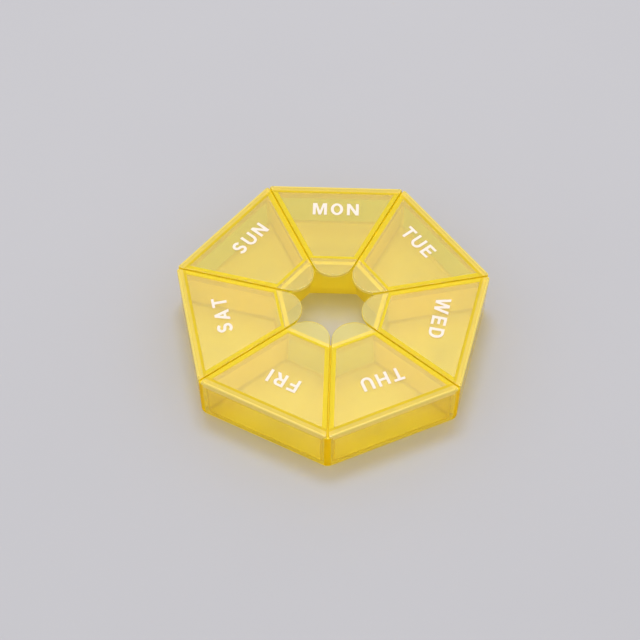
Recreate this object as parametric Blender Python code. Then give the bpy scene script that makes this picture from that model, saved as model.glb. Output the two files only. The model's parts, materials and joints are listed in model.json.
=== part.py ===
"""A weekly pill box: a seven sided ring tray with seven lids on living hinges round an open centre.

Lengths are in metres, +Z is up. The box stands on the ground plane, with the middle of its bounding
box on the origin. Each lid is drawn in its own sector frame: X runs along the outer wall, Y points from
the centre of the box to the middle of that wall. The first lid faces +Y and the others follow clockwise.
"""
import math

import bmesh
import bpy
from mathutils import Matrix, Vector

# The days, clockwise seen from above, one side of the box for each
DAYS = ("mon", "tue", "wed", "thu", "fri", "sat", "sun")
SIDES = len(DAYS)
HALF_SECTOR = math.pi / SIDES
FULL_TURN = 2 * math.pi

# Outside of the box
BOX_APOTHEM = 0.04685         # centre to the outer edge of a closed lid
LID_LIP = 0.00015             # how far the lids stand out past the tray's wall
TRAY_HEIGHT = 0.0168          # ground to the rim of the tray
WALL_DRAFT = 0.0004           # how much closer to the centre the wall stands at its foot
TRAY_CORNER_RADIUS = 0.0028
FOOT_ROUND = 0.0008           # rounding along the bottom edge

# Walls and floor of the tray
OUTER_WALL = 0.0014
FLOOR = 0.0012
DIVIDER = 0.0012              # wall between two neighbouring pockets, at the rim
DIVIDER_DRAFT = 0.0001        # how much thicker each side of a divider is at the ground
POCKET_CORNER_RADIUS = 0.0009
POCKET_FLOOR_ROUND = 0.0010

# The open centre
HOLE_APOTHEM = 0.0150         # centre to the wall of the hole, at the rim
HOLE_DRAFT = 0.0011           # how much wider the hole is at the ground
HOLE_CORNER_RADIUS = 0.0012
HOLE_WALL = 0.0014

# A lid: a flat plate whose pointed end is rounded into a finger tab over the hole
LID_THICKNESS = 0.0011
LID_SEAM = 0.0003             # gap between the tray's rim and the plate
LID_GAP = 0.0004              # gap between neighbouring lids
LID_CORNER_RADIUS = 0.0006
LID_EDGE_ROUND = 0.0003
TAB_OVERHANG = 0.0051         # how far the tab reaches in over the hole

# The plug rim under a lid, which drops into the pocket
RIM_DEPTH = 0.0023
RIM_WALL = 0.0009
RIM_CLEARANCE = 0.0003
RIM_EDGE_ROUND = 0.00025

# The living hinge: a thin web in a shallow seat across the seam of a lid's outer edge
WEB_THICKNESS = 0.0004
WEB_CORNER_GAP = 0.0018       # from a corner of the box to the end of its web
WEB_REACH = 0.0009            # how far it runs down the tray's wall, and how far up the lid from the seam
WEB_GAP = 0.0003              # gap to its seat
WEB_EDGE_ROUND = 0.00012

# Steps in the round stretches
CORNER_STEPS = 4
SMALL_CORNER_STEPS = 2
TAB_STEPS = 16
EDGE_STEPS = 2
SMOOTH_ANGLE = math.radians(40)

OVERRUN = 0.001               # how far a cutter runs past what it cuts

# Places that follow from the sizes
LID_UNDERSIDE = TRAY_HEIGHT + LID_SEAM
LID_TOP = LID_UNDERSIDE + LID_THICKNESS
RIM_FOOT = LID_UNDERSIDE - RIM_DEPTH
TRAY_APOTHEM = BOX_APOTHEM - LID_LIP
HINGE_HEIGHT = TRAY_HEIGHT + LID_SEAM / 2
TAB_TIP = HOLE_APOTHEM - TAB_OVERHANG

# Colours, roughness and how much light passes, as the plastic looks in each piece
TRAY_COLOR = (0.80, 0.54, 0.06, 1)
LID_COLOR = (0.86, 0.66, 0.20, 1)
HINGE_COLOR = (0.84, 0.60, 0.10, 1)
PLASTIC_ROUGHNESS = 0.32
TRAY_TRANSMISSION = 0.55
LID_TRANSMISSION = 0.65


def flank_x(distance, offset):
    """X of a sector's flank, moved in by an offset, at a distance from the centre."""
    return (distance * math.sin(HALF_SECTOR) - offset) / math.cos(HALF_SECTOR)


def arc(centre, radius, start, end, steps):
    """Points along an arc, both ends included."""
    points = []
    for step in range(steps + 1):
        angle = start + (end - start) * step / steps
        points.append((centre[0] + radius * math.cos(angle), centre[1] + radius * math.sin(angle)))
    return points


def rounded_outline(corners, radii, steps):
    """A convex outline, anticlockwise, with each corner turned into an arc of its own radius."""
    points = []
    for index, corner in enumerate(corners):
        here = Vector(corner)
        before = (Vector(corners[index - 1]) - here).normalized()
        after = (Vector(corners[(index + 1) % len(corners)]) - here).normalized()
        half_angle = before.angle(after) / 2
        bisector = (before + after).normalized()
        centre = here + bisector * radii[index] / math.sin(half_angle)
        start = math.atan2(before.x, -before.y)
        turn = math.pi - 2 * half_angle
        points += arc(centre, radii[index], start, start + turn, steps[index])
    return points


def heptagon(apothem, corner_radius):
    """The outline of the whole box, or of its hole, with a side facing +Y."""
    corners = []
    for side in range(SIDES):
        angle = math.pi / 2 - HALF_SECTOR + FULL_TURN * side / SIDES
        reach = apothem / math.cos(HALF_SECTOR)
        corners.append((reach * math.cos(angle), reach * math.sin(angle)))
    return rounded_outline(corners, [corner_radius] * SIDES, [CORNER_STEPS] * SIDES)


def trapezoid(near, far, flank, corner_radius):
    """A pocket's outline between two distances from the centre, its flanks moved in."""
    corners = [
        (flank_x(near, flank), near),
        (flank_x(far, flank), far),
        (-flank_x(far, flank), far),
        (-flank_x(near, flank), near),
    ]
    return rounded_outline(corners, [corner_radius] * len(corners), [CORNER_STEPS] * len(corners))


def share_down(height):
    """0 at the tray's rim and 1 at the ground."""
    return 1 - height / TRAY_HEIGHT


def tray_outline(height, inset):
    """The tray's outer outline at a height."""
    apothem = TRAY_APOTHEM - WALL_DRAFT * share_down(height) - inset
    return heptagon(apothem, TRAY_CORNER_RADIUS)


def hole_outline(height, inset):
    """The outline of the hole at a height."""
    return heptagon(HOLE_APOTHEM + HOLE_DRAFT * share_down(height) + inset, HOLE_CORNER_RADIUS)


def pocket_outline(height, inset):
    """A pocket's outline at a height, with a uniform inset from its walls."""
    down = share_down(height)
    near = HOLE_APOTHEM + HOLE_DRAFT * down + HOLE_WALL + inset
    far = TRAY_APOTHEM - WALL_DRAFT * down - OUTER_WALL - inset
    flank = DIVIDER / 2 + DIVIDER_DRAFT * down + inset
    return trapezoid(near, far, flank, POCKET_CORNER_RADIUS)


def rim_outline(height, inset):
    """The plug rim's outline, which clears the pocket at the depth where the rim ends."""
    return pocket_outline(RIM_FOOT, RIM_CLEARANCE + inset)


def rim_hollow_outline(height, inset):
    """The outline inside the plug rim, where an inset makes the hollow wider."""
    return pocket_outline(RIM_FOOT, RIM_CLEARANCE + RIM_WALL - inset)


def plate_outline(height, inset):
    """The lid's plate: a wedge whose point is rounded into the finger tab."""
    flank = LID_GAP / 2 + inset
    far = BOX_APOTHEM - inset
    point = flank / math.sin(HALF_SECTOR)
    tip = TAB_TIP + inset
    tab_radius = (tip - point) * math.sin(HALF_SECTOR) / (1 - math.sin(HALF_SECTOR))
    corners = [(0, point), (flank_x(far, flank), far), (-flank_x(far, flank), far)]
    radii = [tab_radius, LID_CORNER_RADIUS, LID_CORNER_RADIUS]
    return rounded_outline(corners, radii, [TAB_STEPS, SMALL_CORNER_STEPS, SMALL_CORNER_STEPS])


def levels(low, high, low_round, high_round):
    """Heights from low to high, each with the inset of a rounded edge at that height."""
    rows = []
    quarter = math.pi / 2
    for step in range(EDGE_STEPS + 1):
        angle = quarter * step / EDGE_STEPS
        rows.append((low + low_round * (1 - math.cos(angle)), low_round * (1 - math.sin(angle))))
        if low_round == 0:
            break
    for step in range(EDGE_STEPS + 1):
        angle = quarter * (1 - step / EDGE_STEPS)
        rows.append((high - high_round * (1 - math.cos(angle)), high_round * (1 - math.sin(angle))))
        if high_round == 0:
            break
    return rows


def loft(name, outline, rows):
    """A closed mesh through one outline at several heights."""
    bm = bmesh.new()
    rings = []
    for height, inset in rows:
        rings.append([bm.verts.new((x, y, height)) for x, y in outline(height, inset)])
    for low, high in zip(rings, rings[1:]):
        for index in range(len(low)):
            after = (index + 1) % len(low)
            bm.faces.new((low[index], low[after], high[after], high[index]))
    bm.faces.new(list(reversed(rings[0])))
    bm.faces.new(rings[-1])
    mesh = bpy.data.meshes.new(name)
    bm.to_mesh(mesh)
    bm.free()
    return mesh


def box_mesh(name, low, high, edge_round):
    """A box between two corners, its edges rounded where a radius is given."""
    bm = bmesh.new()
    bmesh.ops.create_cube(bm, size=1)
    size = Vector(high) - Vector(low)
    middle = (Vector(high) + Vector(low)) / 2
    bmesh.ops.scale(bm, vec=size, verts=bm.verts)
    bmesh.ops.translate(bm, vec=middle, verts=bm.verts)
    if edge_round > 0:
        bmesh.ops.bevel(bm, geom=bm.edges[:], offset=edge_round, segments=EDGE_STEPS, profile=0.5,
                        affect="EDGES", clamp_overlap=True)
    mesh = bpy.data.meshes.new(name)
    bm.to_mesh(mesh)
    bm.free()
    return mesh


def sector_turn(index):
    """The turn that brings the +Y sector to a day's place, clockwise."""
    return Matrix.Rotation(-FULL_TURN * index / SIDES, 4, "Z")


def repeat_round(name, mesh):
    """One mesh with a copy of another in each sector."""
    bm = bmesh.new()
    for index in range(SIDES):
        copy = mesh.copy()
        copy.transform(sector_turn(index))
        bm.from_mesh(copy)
        bpy.data.meshes.remove(copy)
    ring = bpy.data.meshes.new(name)
    bm.to_mesh(ring)
    bm.free()
    return ring


def half_web():
    """Half the length of a web, which stops short of the box's corners."""
    return flank_x(BOX_APOTHEM, 0) - WEB_CORNER_GAP


def hinge_seat_mesh():
    """The cutter that makes room for one web, in the tray's wall and in the lid's edge."""
    half = half_web() + WEB_GAP
    inner = BOX_APOTHEM - WEB_THICKNESS - WEB_GAP
    foot = HINGE_HEIGHT - WEB_REACH - WEB_GAP
    low = (-half, inner, foot)
    high = (half, BOX_APOTHEM + OVERRUN, LID_TOP + OVERRUN)
    return box_mesh("hinge_seat", low, high, 0)


def new_collection(name):
    """A collection in the scene."""
    collection = bpy.data.collections.new(name)
    bpy.context.scene.collection.children.link(collection)
    return collection


def new_object(name, mesh, collection):
    """A mesh object in a collection."""
    obj = bpy.data.objects.new(name, mesh)
    collection.objects.link(obj)
    return obj


def new_cutter(name, mesh, collection):
    """An object that only shapes others."""
    obj = new_object(name, mesh, collection)
    obj.hide_render = True
    obj.display_type = "WIRE"
    return obj


def boolean(obj, other, operation):
    """Cut or join another object, exactly."""
    modifier = obj.modifiers.new(other.name, "BOOLEAN")
    modifier.object = other
    modifier.operation = operation
    modifier.solver = "EXACT"


def plastic(name, color, transmission):
    """A translucent moulded plastic."""
    material = bpy.data.materials.new(name)
    material.use_nodes = True
    shader = material.node_tree.nodes["Principled BSDF"]
    shader.inputs["Base Color"].default_value = color
    shader.inputs["Roughness"].default_value = PLASTIC_ROUGHNESS
    shader.inputs["Metallic"].default_value = 0
    shader.inputs["Transmission Weight"].default_value = transmission
    material.diffuse_color = color
    return material


def box_centre_y():
    """Y of the hole's centre, so that the bounding box of the whole part is centred on the origin."""
    corner_reach = max(-(sector_turn(SIDES // 2) @ Vector((x, y, 0))).y
                       for x, y in plate_outline(LID_UNDERSIDE, 0))
    return (corner_reach - BOX_APOTHEM) / 2


def make_tray(collection, cutters, centre):
    """The ring tray with its seven pockets, in one piece."""
    body = loft("tray", tray_outline, levels(0, TRAY_HEIGHT, FOOT_ROUND, 0))
    tray = new_object("tray", body, collection)
    over_rim = TRAY_HEIGHT + OVERRUN
    pocket = loft("pocket", pocket_outline, levels(FLOOR, over_rim, POCKET_FLOOR_ROUND, 0))
    hole = loft("hole", hole_outline, levels(-OVERRUN, over_rim, 0, 0))
    shapes = (
        ("pocket_cutter", repeat_round("pockets", pocket)),
        ("hole_cutter", hole),
        ("hinge_seat_cutter", repeat_round("hinge_seats", hinge_seat_mesh())),
    )
    for name, mesh in shapes:
        cutter = new_cutter(name, mesh, cutters)
        cutter.parent = centre
        boolean(tray, cutter, "DIFFERENCE")
    tray.parent = centre
    tray.data.materials.append(plastic("tray_plastic", TRAY_COLOR, TRAY_TRANSMISSION))
    tray.data.shade_smooth()
    tray.data.set_sharp_from_angle(angle=SMOOTH_ANGLE)
    return tray


def make_lid_mesh(cutters):
    """One lid with its tab and plug rim, with the hinge axis through its origin."""
    plate = loft("plate", plate_outline, levels(LID_UNDERSIDE, LID_TOP, 0, LID_EDGE_ROUND))
    half_plate = LID_UNDERSIDE + LID_THICKNESS / 2
    rim = loft("rim", rim_outline, levels(RIM_FOOT, half_plate, RIM_EDGE_ROUND, 0))
    hollow_rows = [(RIM_FOOT - OVERRUN, RIM_EDGE_ROUND), (RIM_FOOT, RIM_EDGE_ROUND),
                   (RIM_FOOT + RIM_EDGE_ROUND, 0), (LID_UNDERSIDE, 0)]
    hollow = loft("rim_hollow", rim_hollow_outline, hollow_rows)
    master = new_cutter("lid_pattern", plate, cutters)
    boolean(master, new_cutter("rim_block", rim, cutters), "UNION")
    boolean(master, new_cutter("rim_hollow_cutter", hollow, cutters), "DIFFERENCE")
    boolean(master, new_cutter("lid_seat_cutter", hinge_seat_mesh(), cutters), "DIFFERENCE")
    depsgraph = bpy.context.evaluated_depsgraph_get()
    mesh = bpy.data.meshes.new_from_object(master.evaluated_get(depsgraph))
    mesh.name = "lid"
    mesh.transform(Matrix.Translation((0, -BOX_APOTHEM, -HINGE_HEIGHT)))
    mesh.materials.clear()
    mesh.materials.append(plastic("lid_plastic", LID_COLOR, LID_TRANSMISSION))
    mesh.shade_smooth()
    mesh.set_sharp_from_angle(angle=SMOOTH_ANGLE)
    return mesh


def make_web_mesh():
    """One living hinge web, with the hinge axis through its origin."""
    low = (-half_web(), -WEB_THICKNESS, -WEB_REACH)
    high = (half_web(), 0, WEB_REACH)
    mesh = box_mesh("web", low, high, WEB_EDGE_ROUND)
    mesh.materials.append(plastic("hinge_plastic", HINGE_COLOR, LID_TRANSMISSION))
    mesh.shade_smooth()
    mesh.set_sharp_from_angle(angle=SMOOTH_ANGLE)
    return mesh


def make_hinge_axis(day, index, collection, centre):
    """An empty on a lid's hinge axis, with X along the axis."""
    axis = bpy.data.objects.new("axis_" + day, None)
    collection.objects.link(axis)
    axis.empty_display_size = half_web()
    axis.parent = centre
    axis.location = sector_turn(index) @ Vector((0, BOX_APOTHEM, HINGE_HEIGHT))
    axis.rotation_euler = (0, 0, -FULL_TURN * index / SIDES)
    return axis


def clear_scene():
    """Remove what a new file starts with."""
    for obj in list(bpy.data.objects):
        bpy.data.objects.remove(obj, do_unlink=True)


def main():
    clear_scene()
    collection = new_collection("weekly_pill_box")
    cutters = new_collection("cutters")
    centre = bpy.data.objects.new("box_centre", None)
    collection.objects.link(centre)
    centre.location = (0, box_centre_y(), 0)
    make_tray(collection, cutters, centre)
    lid_mesh = make_lid_mesh(cutters)
    web_mesh = make_web_mesh()
    for index, day in enumerate(DAYS):
        axis = make_hinge_axis(day, index, collection, centre)
        new_object("lid_" + day, lid_mesh, collection).parent = axis
        new_object("hinge_" + day, web_mesh, collection).parent = axis


main()
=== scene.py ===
"""Looks of the weekly pill box: translucent yellow plastic on a pale table under soft light.

Lengths are in metres, in the frame's own coordinates. Each lid is drawn in its own sector frame: X runs
along the outer wall, Y points from the centre of the box to the middle of that wall.
"""
import json
import math

import bmesh
import bpy
from mathutils import Matrix, Vector


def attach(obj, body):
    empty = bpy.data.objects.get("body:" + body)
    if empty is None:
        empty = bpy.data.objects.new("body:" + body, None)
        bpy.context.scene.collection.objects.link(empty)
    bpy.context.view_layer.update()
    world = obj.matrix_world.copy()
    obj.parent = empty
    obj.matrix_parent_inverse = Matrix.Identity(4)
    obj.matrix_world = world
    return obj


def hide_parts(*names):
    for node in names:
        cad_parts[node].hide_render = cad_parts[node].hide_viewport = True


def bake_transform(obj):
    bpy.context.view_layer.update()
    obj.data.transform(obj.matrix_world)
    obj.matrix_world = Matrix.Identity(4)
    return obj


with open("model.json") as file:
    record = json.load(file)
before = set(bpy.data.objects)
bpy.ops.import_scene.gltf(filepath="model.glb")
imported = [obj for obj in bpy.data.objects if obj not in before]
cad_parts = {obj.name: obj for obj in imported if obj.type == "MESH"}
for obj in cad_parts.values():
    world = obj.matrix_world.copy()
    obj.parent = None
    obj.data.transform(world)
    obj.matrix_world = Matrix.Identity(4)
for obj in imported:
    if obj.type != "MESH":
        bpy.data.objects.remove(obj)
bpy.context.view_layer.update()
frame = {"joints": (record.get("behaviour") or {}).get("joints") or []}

DAYS = ("mon", "tue", "wed", "thu", "fri", "sat", "sun")
SIDES = len(DAYS)
HALF_SECTOR = math.pi / SIDES
FULL_TURN = 2 * math.pi

# Sizes of the box, as in the frame
BOX_APOTHEM = 0.04685
TRAY_APOTHEM = 0.0467
TRAY_HEIGHT = 0.0168
WALL_DRAFT = 0.0004
TRAY_CORNER_RADIUS = 0.0028
FOOT_ROUND = 0.0008
OUTER_WALL = 0.0014
FLOOR = 0.0012
DIVIDER = 0.0012
DIVIDER_DRAFT = 0.0001
POCKET_CORNER_RADIUS = 0.0009
POCKET_FLOOR_ROUND = 0.0010
HOLE_APOTHEM = 0.0150
HOLE_DRAFT = 0.0011
HOLE_CORNER_RADIUS = 0.0012
HOLE_WALL = 0.0014
LID_UNDERSIDE = 0.0171
LID_TOP = 0.0182
LID_GAP = 0.0004
LID_CORNER_RADIUS = 0.00065
LID_EDGE_ROUND = 0.0003
TAB_TIP = 0.0099
RIM_DEPTH = 0.0023
RIM_WALL = 0.0009
RIM_CLEARANCE = 0.0003
RIM_EDGE_ROUND = 0.00025
RIM_FOOT = LID_UNDERSIDE - RIM_DEPTH
HINGE_HEIGHT = 0.01695
WEB_THICKNESS = 0.0004
WEB_REACH = 0.0009
WEB_GAP = 0.0003
WEB_CORNER_GAP = 0.0018

# Finishes of the plastic: two colours between which it drifts, the shares of light that pass straight
# through and that glow through from behind, its roughness from and to, and the tint that one face gives
# to a lamp's light on its way to what lies behind. Some of them are painted light and shade: painted
# highlights on the foot and the lids' edges, and painted shade on the floor, its rounded feet, the
# underside and the far rim strip.
FINISHES = {
    "lid_panel": ((0.998, 0.945, 0.46), (0.985, 0.93, 0.41), 0.77, 0.04, (0.04, 0.07), (0.84, 0.79, 0.58)),
    "lid_band": ((0.985, 0.81, 0.03), (0.965, 0.79, 0.025), 0.32, 0.15, (0.05, 0.10), (0.97, 0.91, 0.50)),
    # The strip over the far rim is darker than the other bands: painted shade, a darker line along the outer
    # rim
    "lid_far_painted_shade": ((0.88, 0.69, 0.025), (0.86, 0.67, 0.02), 0.35, 0.15, (0.05, 0.10), (0.94, 0.85, 0.36)),
    "lid_lip": ((0.95, 0.80, 0.20), (0.94, 0.79, 0.17), 0.42, 0.12, (0.05, 0.10), (0.95, 0.86, 0.40)),
    "lid_under": ((0.998, 0.93, 0.44), (0.995, 0.92, 0.40), 0.88, 0.14, (0.04, 0.07), (0.74, 0.70, 0.50)),
    # The plates' rounded edges and outer sides, and the webs, are nearly opaque: a painted highlight that
    # shows each edge as a bright outline
    "lid_edge_painted_highlight": ((0.998, 0.86, 0.24), (0.985, 0.845, 0.20), 0.05, 0.30, (0.10, 0.16), (0.97, 0.92, 0.60)),
    "lid_side": ((0.998, 0.86, 0.06), (0.995, 0.84, 0.05), 0.05, 0.75, (0.10, 0.16), (0.98, 0.94, 0.60)),
    "lid_rim": ((0.998, 0.87, 0.05), (0.995, 0.85, 0.04), 0.50, 0.25, (0.06, 0.12), (0.97, 0.92, 0.60)),
    "tray_wall": ((0.998, 0.93, 0.14), (0.99, 0.915, 0.11), 0.90, 0.14, (0.02, 0.05), (0.82, 0.71, 0.14)),
    "tray_hole": ((0.998, 0.93, 0.25), (0.99, 0.915, 0.23), 0.72, 0.50, (0.02, 0.05), (0.84, 0.76, 0.28)),
    # The pocket floors and their rounded feet are greyer and darker than the walls: painted shade inside the
    # covered pockets
    "tray_floor_painted_shade": ((0.88, 0.78, 0.25), (0.865, 0.765, 0.22), 0.40, 0.10, (0.05, 0.09), (0.97, 0.93, 0.65)),
    "tray_cove_painted_shade": ((0.90, 0.74, 0.06), (0.88, 0.72, 0.05), 0.25, 0.30, (0.05, 0.09), (0.97, 0.92, 0.50)),
    "tray_divider": ((0.998, 0.89, 0.08), (0.995, 0.87, 0.06), 0.10, 0.80, (0.05, 0.10), (0.97, 0.92, 0.60)),
    "tray_top": ((0.998, 0.85, 0.03), (0.995, 0.83, 0.02), 0.15, 0.25, (0.08, 0.14), (0.96, 0.88, 0.50)),
    "tray_corner": ((0.998, 0.82, 0.01), (0.995, 0.80, 0.01), 0.05, 0.85, (0.10, 0.16), (0.92, 0.84, 0.30)),
    "tray_turn": ((0.998, 0.85, 0.06), (0.995, 0.83, 0.05), 0.20, 0.45, (0.04, 0.08), (0.84, 0.74, 0.18)),
    # The rounded foot is paler and nearly opaque: a painted highlight, the bright line of light gathered
    # along the tray's bottom edge
    "tray_foot_painted_highlight": ((0.998, 0.95, 0.12), (0.995, 0.93, 0.10), 0.05, 0.85, (0.10, 0.16), (0.95, 0.88, 0.50)),
    # The underside is darker than the walls too: painted shade under the pockets' floors
    "tray_base_painted_shade": ((0.90, 0.82, 0.29), (0.885, 0.805, 0.26), 0.20, 0.20, (0.10, 0.20), (0.90, 0.82, 0.35)),
}

REFRACTIVE_INDEX = 1.49

# The plastic's fine surface, in features to the metre: colour drift, gloss and ripple
DRIFT_SCALE = 60
GLOSS_SCALE = 240
RIPPLE_SCALE = 500
RIPPLE_STRENGTH = 0.06
RIPPLE_DEPTH = 0.0004

# Printed ink and table: two colours each, and their roughness from and to
INK_COLOURS = ((0.90, 0.78, 0.67), (0.94, 0.85, 0.76))
INK_ROUGHNESS = (0.45, 0.62)
INK_SPECKLE_SCALE = 1500
INK_GLOSS_SCALE = 900
TABLE_COLOURS = ((0.525, 0.515, 0.540), (0.545, 0.535, 0.559))
TABLE_ROUGHNESS = (0.7, 0.8)
TABLE_DRIFT_SCALE = 9
TABLE_GLOSS_SCALE = 40

# How a face's slope and place pick its finish
FLAT_SLOPE = 0.97             # a face's upward share above which it counts as level
STEEP_SLOPE = 0.05            # and the share below which it counts as upright
TOP_SLOPE = 0.5               # a face that leans more than this upwards belongs to the rim or the floor
COVE_SLOPE = 0.95             # a pocket's rounded foot lies between upright and this
CORNER_END = 1.01             # shares of the way round a tray corner, where its arc ends
CORNER_GLOW_END = 0.85        # and where its brightest part ends
DIVIDER_REACH = 1.1           # a divider's flank, in half thicknesses of the divider
POCKET_TURN_REACH = 1.5       # a pocket's upright corner, in radii of that corner

# Light crosses many walls of clear plastic on its way
LIGHT_BOUNCES = 24

# A soft lamp above and behind the box, and an even sky
LAMP_PLACE = (-0.06, 0.60, 2.0)
LAMP_SIZE = (0.8, 0.5)
LAMP_POWER = 18.4
LAMP_COLOUR = (1.0, 0.995, 0.99)
SKY_COLOUR = (0.97, 0.98, 1.0)
SKY_STRENGTH = 0.705

# The table's half side, and how far it lies under the box
TABLE_REACH = 1.5
TABLE_DROP = 0.00005
TABLE_SEGMENTS = 8

# Small roundings that only the picture needs
TRAY_EDGE_ROUND = 0.00018
LID_FOOT_ROUND = 0.00010
WEB_FIT = 0.00002             # gap between the web and its seat

CORNER_STEPS = 10
SMALL_CORNER_STEPS = 5
TAB_STEPS = 56
EDGE_STEPS = 4
SMOOTH_ANGLE = math.radians(35)
OVERRUN = 0.001
WELD = 1e-6

# The day marks: where each word's middle lies in its sector, and how far it is turned, in degrees
LETTER_HEIGHT = 0.0048
LETTER_GAP_SHARE = 0.26       # between two letters, as a share of their height
LETTER_STROKE_SHARE = 0.2
LETTER_STEPS = 14
PRINT_THICKNESS = 0.00004
PRINT_SINK = 0.00002          # how deep the ink bites into the plate
MARKS = {
    "mon": (0.0002, 0.0374, 0.0),
    "tue": (-0.0021, 0.0368, 2.0),
    "wed": (-0.0020, 0.0347, 2.0),
    "thu": (-0.0018, 0.0340, -2.5),
    "fri": (-0.0008, 0.0346, 0.0),
    "sat": (0.0010, 0.0355, 1.0),
    "sun": (0.0018, 0.0366, 0.0),
}

# Camera, fitted to the photograph
FOCAL_LENGTH = 108.46
SENSOR_WIDTH = 36.0
CAMERA_AZIMUTH = math.radians(1.63)
CAMERA_ELEVATION = math.radians(54.26)
CAMERA_ROLL = math.radians(0.17)
CAMERA_DISTANCE = 0.6328
CAMERA_TARGET = Vector((-0.0040, 0.0071, 0.0006))
CAMERA_CLIP = (0.05, 20)

# The plastics' materials, once made, by the names of their finishes
PLASTICS = {}


def box_centre():
    """The middle of the hole, from the hinges round it."""
    places = [Vector(joint["pos_m"]) for joint in frame["joints"]]
    middle = sum(places, Vector()) / len(places)
    return Vector((middle.x, middle.y, 0))


CENTRE = box_centre()


def flank_x(distance, offset):
    """X of a sector's flank, moved in by an offset, at a distance from the centre."""
    return (distance * math.sin(HALF_SECTOR) - offset) / math.cos(HALF_SECTOR)


def arc(centre, radius, start, end, steps):
    """Points along an arc, both ends included."""
    points = []
    for step in range(steps + 1):
        angle = start + (end - start) * step / steps
        points.append((centre[0] + radius * math.cos(angle), centre[1] + radius * math.sin(angle)))
    return points


def rounded_outline(corners, radii, steps):
    """A convex outline, anticlockwise, with each corner turned into an arc of its own radius."""
    points = []
    for index, corner in enumerate(corners):
        here = Vector(corner)
        before = (Vector(corners[index - 1]) - here).normalized()
        after = (Vector(corners[(index + 1) % len(corners)]) - here).normalized()
        half_angle = before.angle(after) / 2
        bisector = (before + after).normalized()
        centre = here + bisector * radii[index] / math.sin(half_angle)
        start = math.atan2(before.x, -before.y)
        turn = math.pi - 2 * half_angle
        points += arc(centre, radii[index], start, start + turn, steps[index])
    return points


def heptagon(apothem, corner_radius):
    """The outline of the whole box, or of its hole, with a side facing +Y."""
    corners = []
    for side in range(SIDES):
        angle = math.pi / 2 - HALF_SECTOR + FULL_TURN * side / SIDES
        reach = apothem / math.cos(HALF_SECTOR)
        corners.append((reach * math.cos(angle), reach * math.sin(angle)))
    return rounded_outline(corners, [corner_radius] * SIDES, [CORNER_STEPS] * SIDES)


def trapezoid(near, far, flank, corner_radius):
    """A pocket's outline between two distances from the centre, its flanks moved in."""
    corners = [
        (flank_x(near, flank), near),
        (flank_x(far, flank), far),
        (-flank_x(far, flank), far),
        (-flank_x(near, flank), near),
    ]
    return rounded_outline(corners, [corner_radius] * 4, [CORNER_STEPS] * 4)


def share_down(height):
    """0 at the tray's rim and 1 at the table."""
    return 1 - height / TRAY_HEIGHT


def tray_outline(height, inset):
    """The tray's outer outline at a height."""
    return heptagon(TRAY_APOTHEM - WALL_DRAFT * share_down(height) - inset, TRAY_CORNER_RADIUS)


def hole_outline(height, inset):
    """The outline of the hole at a height."""
    return heptagon(HOLE_APOTHEM + HOLE_DRAFT * share_down(height) - inset, HOLE_CORNER_RADIUS)


def pocket_outline(height, inset):
    """A pocket's outline at a height, with a uniform inset from its walls."""
    down = share_down(height)
    near = HOLE_APOTHEM + HOLE_DRAFT * down + HOLE_WALL + inset
    far = TRAY_APOTHEM - WALL_DRAFT * down - OUTER_WALL - inset
    flank = DIVIDER / 2 + DIVIDER_DRAFT * down + inset
    return trapezoid(near, far, flank, POCKET_CORNER_RADIUS)


def rim_outline(height, inset):
    """The outline of a lid's plug rim."""
    return pocket_outline(RIM_FOOT, RIM_CLEARANCE + inset)


def rim_hollow_outline(height, inset):
    """The outline inside the plug rim."""
    return pocket_outline(RIM_FOOT, RIM_CLEARANCE + RIM_WALL + inset)


def plate_outline(height, inset):
    """The lid's plate: a wedge whose point is rounded into the finger tab."""
    flank = LID_GAP / 2 + inset
    far = BOX_APOTHEM - inset
    point = flank / math.sin(HALF_SECTOR)
    tip = TAB_TIP + inset
    tab_radius = (tip - point) * math.sin(HALF_SECTOR) / (1 - math.sin(HALF_SECTOR))
    corners = [(0, point), (flank_x(far, flank), far), (-flank_x(far, flank), far)]
    radii = [tab_radius, LID_CORNER_RADIUS, LID_CORNER_RADIUS]
    return rounded_outline(corners, radii, [TAB_STEPS, SMALL_CORNER_STEPS, SMALL_CORNER_STEPS])


def quarter_angles():
    """Angles of a rounded edge, from its flat start to its upright end."""
    return [math.pi / 2 * step / EDGE_STEPS for step in range(EDGE_STEPS + 1)]


def rounded_foot(low, radius):
    """Heights and insets of a rounded lower edge."""
    return [(low + radius * (1 - math.cos(a)), radius * (1 - math.sin(a))) for a in quarter_angles()]


def rounded_top(high, radius):
    """Heights and insets of a rounded upper edge."""
    return [(high - height, inset) for height, inset in reversed(rounded_foot(0, radius))]


def flared_top(high, radius):
    """Heights and insets of a cutter that leaves a rounded edge at a mouth, then runs past it."""
    rows = [(high - radius * (1 - math.sin(a)), -radius * (1 - math.cos(a))) for a in quarter_angles()]
    return rows + [(high + OVERRUN, -radius)]


def flared_foot(low, radius):
    """Heights and insets of a cutter that leaves a rounded edge at a lower mouth."""
    return [(2 * low - height, inset) for height, inset in reversed(flared_top(low, radius))]


def loft(name, outline, rows):
    """A closed object through one outline at several heights."""
    bm = bmesh.new()
    rings = []
    for height, inset in rows:
        rings.append([bm.verts.new((x, y, height)) for x, y in outline(height, inset)])
    for low, high in zip(rings, rings[1:]):
        for index in range(len(low)):
            after = (index + 1) % len(low)
            bm.faces.new((low[index], low[after], high[after], high[index]))
    bm.faces.new(list(reversed(rings[0])))
    bm.faces.new(rings[-1])
    return finish_bmesh(name, bm)


def finish_bmesh(name, bm):
    """An object in the scene from a bmesh."""
    mesh = bpy.data.meshes.new(name)
    bm.to_mesh(mesh)
    bm.free()
    obj = bpy.data.objects.new(name, mesh)
    bpy.context.scene.collection.objects.link(obj)
    return obj


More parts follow.
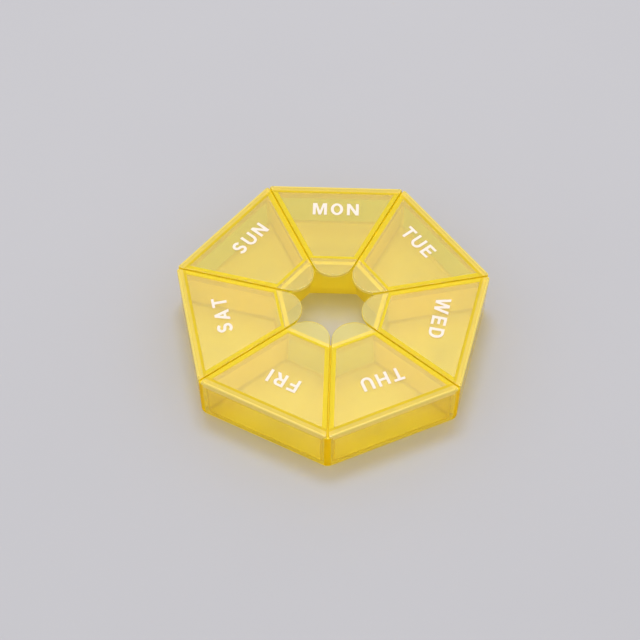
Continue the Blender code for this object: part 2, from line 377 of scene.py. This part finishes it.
def box(name, low, high):
    """A plain box, used as a cutter."""
    bm = bmesh.new()
    bmesh.ops.create_cube(bm, size=1)
    bmesh.ops.scale(bm, vec=Vector(high) - Vector(low), verts=bm.verts)
    bmesh.ops.translate(bm, vec=(Vector(high) + Vector(low)) / 2, verts=bm.verts)
    return finish_bmesh(name, bm)


def sector_turn(index):
    """The turn that brings the +Y sector to a day's place, clockwise, about the box's centre."""
    return Matrix.Translation(CENTRE) @ Matrix.Rotation(-FULL_TURN * index / SIDES, 4, "Z")


def repeated(name, obj):
    """One object with a copy of another in each sector, still centred on the world's origin."""
    bm = bmesh.new()
    for index in range(SIDES):
        copy = obj.data.copy()
        copy.transform(Matrix.Rotation(-FULL_TURN * index / SIDES, 4, "Z"))
        bm.from_mesh(copy)
        bpy.data.meshes.remove(copy)
    bpy.data.objects.remove(obj)
    return finish_bmesh(name, bm)


def carved(body, joined, cutters):
    """The mesh of a body with others joined to it and cut out of it, smooth but for its edges."""
    for other, operation in [(o, "UNION") for o in joined] + [(o, "DIFFERENCE") for o in cutters]:
        modifier = body.modifiers.new(other.name, "BOOLEAN")
        modifier.object = other
        modifier.operation = operation
        modifier.solver = "EXACT"
    mesh = settled_mesh(body)
    for obj in (body, *joined, *cutters):
        bpy.data.objects.remove(obj)
    return mesh


def settled_mesh(obj):
    """A mesh with an object's modifiers applied, shaded smooth up to the sharp angle."""
    depsgraph = bpy.context.evaluated_depsgraph_get()
    mesh = bpy.data.meshes.new_from_object(obj.evaluated_get(depsgraph))
    mesh.materials.clear()
    mesh.shade_smooth()
    mesh.set_sharp_from_angle(angle=SMOOTH_ANGLE)
    return mesh


def new_piece(name, mesh):
    """A visible piece, its normals weighted with its sharp edges kept."""
    obj = bpy.data.objects.new(name, mesh)
    bpy.context.scene.collection.objects.link(obj)
    weighted = obj.modifiers.new("weighted_normals", "WEIGHTED_NORMAL")
    weighted.keep_sharp = True
    return obj


def half_web():
    """Half the length of a hinge web."""
    return flank_x(BOX_APOTHEM, 0) - WEB_CORNER_GAP


def hinge_seat(name):
    """The cutter for the web's seat."""
    half = half_web() + WEB_FIT
    low = (-half, BOX_APOTHEM - WEB_THICKNESS - WEB_GAP, HINGE_HEIGHT - WEB_REACH - WEB_GAP)
    high = (half, BOX_APOTHEM + OVERRUN, LID_TOP + OVERRUN)
    return box(name, low, high)


class Nodes:
    """A short way to add and join shader nodes."""

    def __init__(self, name):
        self.material = bpy.data.materials.new(name)
        self.material.use_nodes = True
        self.tree = self.material.node_tree
        self.shader = self.tree.nodes["Principled BSDF"]
        self.output = self.tree.nodes["Material Output"]

    def add(self, kind, values=None, **settings):
        node = self.tree.nodes.new(kind)
        for key, value in settings.items():
            setattr(node, key, value)
        for key, value in (values or {}).items():
            node.inputs[key].default_value = value
        return node

    def join(self, output, target):
        self.tree.links.new(output, target)


def noise(nodes, scale, detail, distortion=0.0):
    """Noise in the piece's own coordinates, at a number of features to the metre."""
    place = nodes.add("ShaderNodeTexCoord")
    texture = nodes.add("ShaderNodeTexNoise", {"Scale": scale, "Detail": detail, "Distortion": distortion})
    nodes.join(place.outputs["Object"], texture.inputs["Vector"])
    return texture.outputs["Fac"]


def ranged(nodes, value, low, high):
    """A 0 to 1 value spread between two others."""
    spread = nodes.add("ShaderNodeMapRange", {"To Min": low, "To Max": high})
    nodes.join(value, spread.inputs["Value"])
    return spread.outputs["Result"]


def blended(nodes, value, first, second):
    """A colour between two others."""
    mix = nodes.add("ShaderNodeMix", data_type="RGBA")
    nodes.join(value, mix.inputs["Factor"])
    mix.inputs["A"].default_value = (*first, 1)
    mix.inputs["B"].default_value = (*second, 1)
    return mix.outputs["Result"]


def plastic(name):
    """Translucent moulded plastic in one of its finishes: some light passes straight through it, some
    glows through from behind and the rest is scattered back. Lamps shine through with its tint."""
    pale, deep, transmission, glow, roughness, tint = FINISHES[name]
    nodes = Nodes(name)
    shader = nodes.shader
    colour = blended(nodes, noise(nodes, DRIFT_SCALE, 3, 0.6), pale, deep)
    nodes.join(colour, shader.inputs["Base Color"])
    nodes.join(ranged(nodes, noise(nodes, GLOSS_SCALE, 4), *roughness), shader.inputs["Roughness"])
    shader.inputs["Transmission Weight"].default_value = transmission
    shader.inputs["IOR"].default_value = REFRACTIVE_INDEX
    bump = nodes.add("ShaderNodeBump", {"Strength": RIPPLE_STRENGTH, "Distance": RIPPLE_DEPTH})
    nodes.join(noise(nodes, RIPPLE_SCALE, 3), bump.inputs["Height"])
    nodes.join(bump.outputs["Normal"], shader.inputs["Normal"])
    rays = nodes.add("ShaderNodeLightPath")
    clear = nodes.add("ShaderNodeBsdfTransparent", {"Color": (*tint, 1)})
    surface = nodes.add("ShaderNodeMixShader")
    nodes.join(rays.outputs["Is Shadow Ray"], surface.inputs["Fac"])
    through = nodes.add("ShaderNodeBsdfTranslucent")
    nodes.join(colour, through.inputs["Color"])
    body = nodes.add("ShaderNodeMixShader", {"Fac": glow})
    nodes.join(shader.outputs["BSDF"], body.inputs[1])
    nodes.join(through.outputs["BSDF"], body.inputs[2])
    nodes.join(body.outputs["Shader"], surface.inputs[1])
    nodes.join(clear.outputs["BSDF"], surface.inputs[2])
    nodes.join(surface.outputs["Shader"], nodes.output.inputs["Surface"])
    return nodes.material


def ink():
    """Off-white printed ink with a slight speckle."""
    nodes = Nodes("day_print")
    colour = blended(nodes, noise(nodes, INK_SPECKLE_SCALE, 2), *INK_COLOURS)
    nodes.join(colour, nodes.shader.inputs["Base Color"])
    roughness = ranged(nodes, noise(nodes, INK_GLOSS_SCALE, 2), *INK_ROUGHNESS)
    nodes.join(roughness, nodes.shader.inputs["Roughness"])
    return nodes.material


def table_top():
    """A smooth pale grey table."""
    nodes = Nodes("table")
    colour = blended(nodes, noise(nodes, TABLE_DRIFT_SCALE, 2), *TABLE_COLOURS)
    nodes.join(colour, nodes.shader.inputs["Base Color"])
    roughness = ranged(nodes, noise(nodes, TABLE_GLOSS_SCALE, 3), *TABLE_ROUGHNESS)
    nodes.join(roughness, nodes.shader.inputs["Roughness"])
    return nodes.material


def finish_faces(mesh, names, pick):
    """Give each face of a mesh the finish that a rule picks for it."""
    for name in names:
        mesh.materials.append(PLASTICS[name])
    for face in mesh.polygons:
        face.material_index = names.index(pick(face.center, face.normal))


def from_flank(place):
    """How far a place in the +Y sector lies inside the sector's nearer flank."""
    return place.y * math.sin(HALF_SECTOR) - abs(place.x) * math.cos(HALF_SECTOR)


def in_sector(place):
    """A place turned into the +Y sector, about the world's origin."""
    turn = round(math.atan2(place.x, place.y) / (2 * HALF_SECTOR))
    return Matrix.Rotation(2 * HALF_SECTOR * turn, 3, "Z") @ place


def tray_finish(place, normal):
    """The finish of the tray at a place on its surface."""
    place = in_sector(place)
    flank = from_flank(place)
    wide_wall = OUTER_WALL + WALL_DRAFT
    outer = place.y > TRAY_APOTHEM - wide_wall / 2
    inner = place.y < HOLE_APOTHEM + HOLE_DRAFT + HOLE_WALL / 2
    # The pocket's rounded foot takes the painted shade, darker than the walls
    if FLOOR < place.z < FLOOR + POCKET_FLOOR_ROUND and STEEP_SLOPE < normal.z < COVE_SLOPE:
        return "tray_cove_painted_shade"
    # Upward faces: the divider tops, else the floor with its painted shade
    if normal.z > TOP_SLOPE:
        return "tray_top" if place.z > TRAY_HEIGHT / 2 else "tray_floor_painted_shade"
    # The rounded foot takes the painted highlight, a bright line along the bottom edge
    if outer and place.z < FOOT_ROUND and normal.z > -FLAT_SLOPE:
        return "tray_foot_painted_highlight"
    turn = flank / (TRAY_CORNER_RADIUS * math.sin(HALF_SECTOR))
    if outer and turn < CORNER_END:
        return "tray_corner" if turn < CORNER_GLOW_END else "tray_turn"
    if not outer and not inner and place.z > FLOOR:
        side = DIVIDER / 2 + DIVIDER_DRAFT
        if flank < side * DIVIDER_REACH:
            return "tray_divider"
        if flank < side + POCKET_TURN_REACH * POCKET_CORNER_RADIUS:
            return "tray_turn"
    # The underside takes the painted shade too
    if normal.z < -FLAT_SLOPE:
        return "tray_base_painted_shade"
    return "tray_hole" if inner else "tray_wall"


def rim_lines():
    """Distances from the centre to the plug rim's near and far walls, outside and inside."""
    outside = [y for x, y in rim_outline(RIM_FOOT, 0)]
    inside = [y for x, y in rim_hollow_outline(RIM_FOOT, 0)]
    return min(outside), min(inside), max(inside), max(outside)


def rim_band():
    """How far a lid's flank strip reaches in over its plug rim, from the sector's flank."""
    return DIVIDER / 2 + DIVIDER_DRAFT * share_down(RIM_FOOT) + RIM_CLEARANCE + RIM_WALL


def lid_finish(place, normal):
    """The finish of a lid in the +Y sector at a place on its surface."""
    if place.z < LID_UNDERSIDE - LID_FOOT_ROUND:
        return "lid_rim"
    # Upright and rounded faces: the sides at the gap between lids, else the edges with their painted
    # highlight
    if abs(normal.z) < FLAT_SLOPE:
        return "lid_side" if from_flank(place) < LID_GAP / 2 + LID_EDGE_ROUND else "lid_edge_painted_highlight"
    if normal.z < 0:
        return "lid_under"
    near_out, near_in, far_in, far_out = rim_lines()
    if place.y > far_out:
        return "lid_lip"
    # The strip over the far rim takes its painted shade
    if place.y > far_in:
        return "lid_far_painted_shade"
    panel = place.y > near_in and from_flank(place) > rim_band()
    return "lid_panel" if panel or place.y < near_out else "lid_band"


def split_lid(mesh):
    """Cut a lid's faces along the lines of its plug rim, so that each strip can have its own finish."""
    bm = bmesh.new()
    bm.from_mesh(mesh)
    cuts = [((0, line, 0), (0, 1, 0)) for line in rim_lines()]
    reach = rim_band() / math.cos(HALF_SECTOR)
    for side in (-1, 1):
        cuts.append(((-side * reach, 0, 0), (side * math.cos(HALF_SECTOR), -math.sin(HALF_SECTOR), 0)))
    for place, normal in cuts:
        bmesh.ops.bisect_plane(bm, geom=bm.verts[:] + bm.edges[:] + bm.faces[:], dist=WELD,
                               plane_co=place, plane_no=normal)
    bm.to_mesh(mesh)
    bm.free()


def make_tray():
    """The ring tray with its seven pockets."""
    rim = TRAY_HEIGHT
    body = loft("body", tray_outline, rounded_foot(0, FOOT_ROUND) + rounded_top(rim, TRAY_EDGE_ROUND))
    pocket_rows = rounded_foot(FLOOR, POCKET_FLOOR_ROUND) + flared_top(rim, TRAY_EDGE_ROUND)
    pockets = repeated("pockets", loft("pocket", pocket_outline, pocket_rows))
    hole_rows = flared_foot(0, TRAY_EDGE_ROUND) + flared_top(rim, TRAY_EDGE_ROUND)
    hole = loft("hole", hole_outline, hole_rows)
    seats = repeated("seats", hinge_seat("seat"))
    mesh = carved(body, (), (pockets, hole, seats))
    names = [name for name in FINISHES if name.startswith("tray_")]
    finish_faces(mesh, names, tray_finish)
    mesh.transform(Matrix.Translation(CENTRE))
    tray = new_piece("tray_body", mesh)
    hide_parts("tray")
    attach(tray, "tray")


def lid_mesh():
    """One lid with its finger tab and plug rim, in the +Y sector."""
    half_plate = (LID_UNDERSIDE + LID_TOP) / 2
    plate_top = LID_TOP - PRINT_THICKNESS
    plate_rows = rounded_foot(LID_UNDERSIDE, LID_FOOT_ROUND) + rounded_top(plate_top, LID_EDGE_ROUND)
    plate = loft("plate", plate_outline, plate_rows)
    rim = loft("rim", rim_outline, rounded_foot(RIM_FOOT, RIM_EDGE_ROUND) + [(half_plate, 0)])
    hollow_rows = flared_foot(RIM_FOOT, RIM_EDGE_ROUND) + [(LID_UNDERSIDE, 0)]
    hollow = loft("hollow", rim_hollow_outline, hollow_rows)
    mesh = carved(plate, (rim,), (hollow, hinge_seat("lid_seat")))
    split_lid(mesh)
    names = [name for name in FINISHES if name.startswith("lid_")]
    finish_faces(mesh, names, lid_finish)
    return mesh


def web_profile():
    """The web's section, as distances from the centre and heights: a flange in the tray's seat, a thin
    stretch on the hinge axis and a flange in the lid's seat."""
    inner = BOX_APOTHEM - WEB_THICKNESS - WEB_GAP + WEB_FIT
    thin = BOX_APOTHEM - WEB_THICKNESS
    foot = HINGE_HEIGHT - WEB_REACH - WEB_GAP + WEB_FIT
    lip = LID_UNDERSIDE - HINGE_HEIGHT
    points = [(inner, foot), (TRAY_APOTHEM, foot), (BOX_APOTHEM, HINGE_HEIGHT - WEB_REACH)]
    points += [(BOX_APOTHEM, HINGE_HEIGHT + lip * share) for share in (-2, -1, -0.6, -0.2, 0.2, 0.6, 1, 2)]
    plate_top = LID_TOP - PRINT_THICKNESS
    points += [(BOX_APOTHEM - inset, height) for height, inset in rounded_top(plate_top, LID_EDGE_ROUND)]
    points += [(inner, plate_top)]
    points += [(inner, LID_UNDERSIDE + lip)]
    points += [(thin, HINGE_HEIGHT + lip * share) for share in (1, 0.6, 0.2, -0.2, -0.6, -1)]
    points += [(inner, HINGE_HEIGHT - 2 * lip)]
    return points


def web_mesh():
    """One hinge web, in the +Y sector."""
    bm = bmesh.new()
    ends = []
    for side in (-1, 1):
        ends.append([bm.verts.new((side * half_web(), y, z)) for y, z in web_profile()])
    count = len(ends[0])
    for index in range(count):
        after = (index + 1) % count
        bm.faces.new((ends[0][index], ends[0][after], ends[1][after], ends[1][index]))
    bm.faces.new(list(reversed(ends[0])))
    bm.faces.new(ends[1])
    bmesh.ops.recalc_face_normals(bm, faces=bm.faces)
    obj = finish_bmesh("web", bm)
    mesh = settled_mesh(obj)
    bpy.data.objects.remove(obj)
    # The web has the edges' painted highlight
    mesh.materials.append(PLASTICS["lid_edge_painted_highlight"])
    return mesh


def bend(centre, radii, start, end):
    """Points along an elliptical arc between two angles, in degrees."""
    points = []
    for step in range(LETTER_STEPS + 1):
        angle = math.radians(start + (end - start) * step / LETTER_STEPS)
        points.append((centre[0] + radii[0] * math.cos(angle), centre[1] + radii[1] * math.sin(angle)))
    return points


def pen_line(points):
    """The outline of a pen's stroke along a run of points."""
    left, right = [], []
    for index, point in enumerate(points):
        before = Vector(points[max(index - 1, 0)])
        after = Vector(points[min(index + 1, len(points) - 1)])
        along = (after - before).normalized()
        across = Vector((-along.y, along.x)) * LETTER_STROKE_SHARE / 2
        left.append(Vector(point) + across)
        right.append(Vector(point) - across)
    return left + right[::-1]


# Plain capitals: the outlines of each letter, then of its holes, as shares of its height
LETTER_SHARES = {
    "A": [[(0, 0), (0.33, 1), (0.53, 1), (0.86, 0), (0.64, 0), (0.57, 0.22), (0.29, 0.22), (0.22, 0)],
          [(0.345, 0.39), (0.43, 0.68), (0.515, 0.39)]],
    "D": [[(0, 0), (0, 1), *bend((0.36, 0.5), (0.43, 0.5), 90, -90)],
          [(0.2, 0.18), (0.2, 0.82), *bend((0.36, 0.5), (0.22, 0.32), 90, -90)]],
    "E": [[(0, 0), (0, 1), (0.68, 1), (0.68, 0.82), (0.2, 0.82), (0.2, 0.6), (0.62, 0.6), (0.62, 0.42),
           (0.2, 0.42), (0.2, 0.18), (0.7, 0.18), (0.7, 0)]],
    "F": [[(0, 0), (0, 1), (0.66, 1), (0.66, 0.82), (0.2, 0.82), (0.2, 0.58), (0.58, 0.58), (0.58, 0.4),
           (0.2, 0.4), (0.2, 0)]],
    "H": [[(0, 0), (0, 1), (0.2, 1), (0.2, 0.6), (0.6, 0.6), (0.6, 1), (0.8, 1), (0.8, 0), (0.6, 0),
           (0.6, 0.42), (0.2, 0.42), (0.2, 0)]],
    "I": [[(0, 0), (0, 1), (0.2, 1), (0.2, 0)]],
    "M": [[(0, 0), (0, 1), (0.28, 1), (0.485, 0.32), (0.69, 1), (0.97, 1), (0.97, 0), (0.77, 0),
           (0.77, 0.72), (0.57, 0), (0.4, 0), (0.2, 0.72), (0.2, 0)]],
    "N": [[(0, 0), (0, 1), (0.21, 1), (0.61, 0.36), (0.61, 1), (0.81, 1), (0.81, 0), (0.6, 0),
           (0.2, 0.64), (0.2, 0)]],
    "O": [bend((0.43, 0.5), (0.43, 0.52), 0, 360)[:-1], bend((0.43, 0.5), (0.22, 0.33), 0, 360)[:-1]],
    "R": [[(0, 0), (0, 1), *bend((0.44, 0.71), (0.29, 0.29), 90, -70), (0.79, 0), (0.55, 0), (0.31, 0.39),
           (0.2, 0.39), (0.2, 0)],
          [(0.2, 0.57), (0.2, 0.83), *bend((0.42, 0.7), (0.11, 0.13), 90, -90)]],
    "S": [pen_line(bend((0.35, 0.71), (0.24, 0.21), 25, 270)
                   + bend((0.35, 0.29), (0.26, 0.21), 90, -155)[1:])],
    "T": [[(0.27, 0), (0.27, 0.82), (0, 0.82), (0, 1), (0.74, 1), (0.74, 0.82), (0.47, 0.82), (0.47, 0)]],
    "U": [[(0, 1), (0.2, 1), *bend((0.4, 0.37), (0.2, 0.21), 180, 360), (0.6, 1), (0.8, 1),
           *bend((0.4, 0.37), (0.4, 0.39), 0, -180)]],
    "W": [[(0, 1), (0.22, 1), (0.38, 0.33), (0.53, 1), (0.76, 1), (0.91, 0.33), (1.07, 1), (1.29, 1),
           (1.02, 0), (0.8, 0), (0.645, 0.67), (0.49, 0), (0.27, 0)]],
}


def word_mesh(day):
    """A day's printed letters, flat on the ground plane and centred on the origin."""
    curve = bpy.data.curves.new("word_" + day, "CURVE")
    curve.dimensions = "2D"
    curve.fill_mode = "BOTH"
    depth = PRINT_THICKNESS + PRINT_SINK
    curve.extrude = depth / 2
    left = 0
    for letter in day.upper():
        outlines = LETTER_SHARES[letter]
        for outline in outlines:
            spline = curve.splines.new("POLY")
            spline.points.add(len(outline) - 1)
            spline.use_cyclic_u = True
            for point, (x, y) in zip(spline.points, outline):
                point.co = ((left + x) * LETTER_HEIGHT, y * LETTER_HEIGHT, 0, 1)
        left += max(x for x, y in outlines[0]) + LETTER_GAP_SHARE
    obj = bpy.data.objects.new("word", curve)
    bpy.context.scene.collection.objects.link(obj)
    mesh = settled_mesh(obj)
    bpy.data.objects.remove(obj)
    width = (left - LETTER_GAP_SHARE) * LETTER_HEIGHT
    mesh.transform(Matrix.Translation((-width / 2, -LETTER_HEIGHT / 2, -depth / 2)))
    bm = bmesh.new()
    bm.from_mesh(mesh)
    bmesh.ops.remove_doubles(bm, verts=bm.verts, dist=WELD)
    bm.to_mesh(mesh)
    bm.free()
    mesh.shade_flat()
    return mesh


def make_lids(print_material):
    """The seven lids with their hinges and day marks."""
    lid, web = lid_mesh(), web_mesh()
    for index, day in enumerate(DAYS):
        body = "lid_" + day
        turn = sector_turn(index)
        mesh = lid.copy()
        mesh.transform(turn)
        shell = new_piece("lid_shell_" + day, mesh)
        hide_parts(body)
        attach(shell, body)
        mesh = web.copy()
        mesh.transform(turn)
        strip = new_piece("hinge_web_" + day, mesh)
        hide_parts("hinge_" + day)
        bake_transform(strip)
        across, out, tilt = MARKS[day]
        mesh = word_mesh(day)
        place = Matrix.Translation((across, out, LID_TOP)) @ Matrix.Rotation(math.radians(tilt), 4, "Z")
        mesh.transform(turn @ place)
        mesh.materials.append(print_material)
        word = new_piece("day_mark_" + day, mesh)
        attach(word, body)


def make_table():
    """The table that the box stands on."""
    bm = bmesh.new()
    bmesh.ops.create_grid(bm, x_segments=TABLE_SEGMENTS, y_segments=TABLE_SEGMENTS, size=TABLE_REACH)
    table = finish_bmesh("table", bm)
    table.location.z = -TABLE_DROP
    table.data.materials.append(table_top())


def make_lamp(name, place, aim, size, power, colour):
    """A soft rectangular lamp."""
    lamp = bpy.data.lights.new(name, "AREA")
    lamp.shape = "RECTANGLE"
    lamp.size, lamp.size_y = size
    lamp.energy = power
    lamp.color = colour
    obj = bpy.data.objects.new(name, lamp)
    obj.location = place
    obj.rotation_euler = (Vector(aim) - Vector(place)).to_track_quat("-Z", "Y").to_euler()
    bpy.context.scene.collection.objects.link(obj)


def make_light():
    """A large soft lamp behind and above the box, and an even sky."""
    make_lamp("softbox", LAMP_PLACE, (0, 0, 0), LAMP_SIZE, LAMP_POWER, LAMP_COLOUR)
    world = bpy.data.worlds.new("studio")
    world.use_nodes = True
    sky = world.node_tree.nodes["Background"]
    sky.inputs["Color"].default_value = (*SKY_COLOUR, 1)
    sky.inputs["Strength"].default_value = SKY_STRENGTH
    bpy.context.scene.world = world


def make_camera():
    """The camera of the photograph."""
    azimuth, elevation = CAMERA_AZIMUTH, CAMERA_ELEVATION
    back = Vector((math.sin(azimuth) * math.cos(elevation), -math.cos(azimuth) * math.cos(elevation),
                   math.sin(elevation)))
    right = Vector((math.cos(azimuth), math.sin(azimuth), 0))
    up = back.cross(right)
    turned = Matrix((right, up, back)).transposed() @ Matrix.Rotation(CAMERA_ROLL, 3, "Z")
    data = bpy.data.cameras.new("camera")
    data.lens = FOCAL_LENGTH
    data.sensor_width = SENSOR_WIDTH
    data.clip_start, data.clip_end = CAMERA_CLIP
    camera = bpy.data.objects.new("camera", data)
    camera.matrix_world = Matrix.Translation(CAMERA_TARGET + back * CAMERA_DISTANCE) @ turned.to_4x4()
    bpy.context.scene.collection.objects.link(camera)
    bpy.context.scene.camera = camera


def main():
    """The dressed pill box on its table, with its light and camera."""
    for name in FINISHES:
        PLASTICS[name] = plastic(name)
    make_tray()
    make_lids(ink())
    make_table()
    make_light()
    make_camera()
    scene = bpy.context.scene
    scene.view_settings.view_transform = "Standard"
    scene.cycles.max_bounces = LIGHT_BOUNCES
    scene.cycles.transmission_bounces = LIGHT_BOUNCES
    scene.cycles.transparent_max_bounces = LIGHT_BOUNCES


main()
